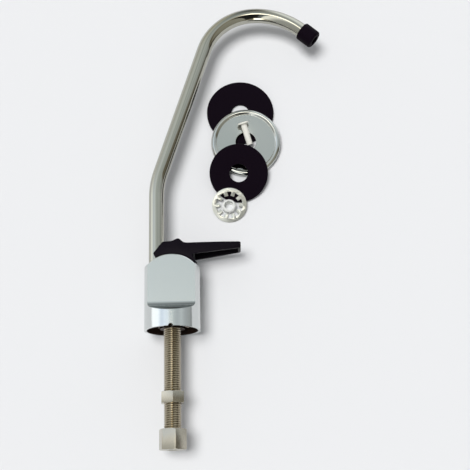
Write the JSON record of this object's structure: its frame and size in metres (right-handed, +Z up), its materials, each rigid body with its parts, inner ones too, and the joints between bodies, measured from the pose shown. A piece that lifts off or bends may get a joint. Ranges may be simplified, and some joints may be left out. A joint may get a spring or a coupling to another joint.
{
  "type": "drinking water filter tap",
  "caption": "Small single-lever filter tap with a bent swivel spout, threaded shank and its loose deck washers, base plate and inlet fittings, lying level.",
  "frame": {"origin": "centre of the foot's seat, where the tap meets its deck", "axes": "+Y up the tap from the shank to the spout, +X the way that the spout and the lever reach, +Z up from the table that the tap lies on"},
  "size_m": [0.1224, 0.3039, 0.036],
  "materials": {
    "chrome_plate": "polished",
    "nickel_plate": "bright nickel",
    "plain_steel": "bright",
    "bare_brass": "machined",
    "black_rubber": "matte",
    "black_plastic": "satin",
    "clear_plastic": "translucent",
    "white_plastic": "creamy white"
  },
  "bodies": {
    "root": {"body_casting": "chrome_plate", "shank": "nickel_plate", "shank_seal": "black_rubber", "valve_seat": "bare_brass", "bonnet": "bare_brass", "bonnet_o_ring": "black_rubber", "spout_clip": "plain_steel"},
    "spout": {"spout_tube": "chrome_plate", "spout_spigot": "bare_brass", "spout_o_rings": "black_rubber", "spout_tip": "black_rubber"},
    "stem": {"stem": "bare_brass", "seat_disc": "black_rubber", "stem_o_ring": "black_rubber", "stem_spring": "plain_steel"},
    "lever": {"lever": "black_plastic", "lever_pin": "plain_steel"},
    "mount_nut": {"mount_nut": "nickel_plate"},
    "compression_nut": {"compression_nut": "nickel_plate"},
    "large_deck_washer": {"large_deck_washer": "black_rubber"},
    "escutcheon": {"escutcheon": "chrome_plate"},
    "small_deck_washer": {"small_deck_washer": "black_rubber"},
    "lock_washer": {"lock_washer": "plain_steel"},
    "ferrule": {"ferrule": "clear_plastic"},
    "tube_insert": {"tube_insert": "white_plastic"}
  },
  "joints": [
    {"name": "spout_swivel", "type": "hinge", "parent": "root", "child": "spout", "pos_m": [-0.0102, 0.03, 0], "axis": [0, -1, 0], "continuous": true},
    {"name": "stem_lift", "type": "slide", "parent": "root", "child": "stem", "axis": [0, 1, 0], "range_m": [0, 0.0026], "deforming": ["stem_spring"]},
    {"name": "lever_press", "type": "hinge", "parent": "stem", "child": "lever", "pos_m": [0.0043, 0.053, 0], "axis": [0, 0, -1], "range_deg": [0, 8], "stiffness_Nm_per_rad": 0.03, "springref_deg": -14.32},
    {"name": "mount_nut_run", "type": "slide", "parent": "root", "child": "mount_nut", "axis": [0, 1, 0], "range_m": [-0.015, 0.036]},
    {"name": "compression_nut_run", "type": "slide", "parent": "root", "child": "compression_nut", "axis": [0, 1, 0], "range_m": [-0.013, 0]},
    {"name": "large_deck_washer_lift", "type": "slide", "parent": "root", "child": "large_deck_washer", "axis": [0, 0, 1], "range_m": [0, 0.03]},
    {"name": "escutcheon_lift", "type": "slide", "parent": "large_deck_washer", "child": "escutcheon", "axis": [0, 0, 1], "range_m": [0, 0.03]},
    {"name": "small_deck_washer_lift", "type": "slide", "parent": "escutcheon", "child": "small_deck_washer", "axis": [0, 0, 1], "range_m": [0, 0.03]},
    {"name": "lock_washer_lift", "type": "slide", "parent": "small_deck_washer", "child": "lock_washer", "axis": [0, 0, 1], "range_m": [0, 0.03]},
    {"name": "tube_insert_lift", "type": "slide", "parent": "escutcheon", "child": "tube_insert", "axis": [0, 0, 1], "range_m": [0, 0.03]},
    {"name": "ferrule_lift", "type": "slide", "parent": "root", "child": "ferrule", "axis": [0, 0, 1], "range_m": [0, 0.03]}
  ],
  "couplings": [
    {"joint": "stem_lift", "follows": "lever_press", "m_per_rad": 0.018621}
  ]
}
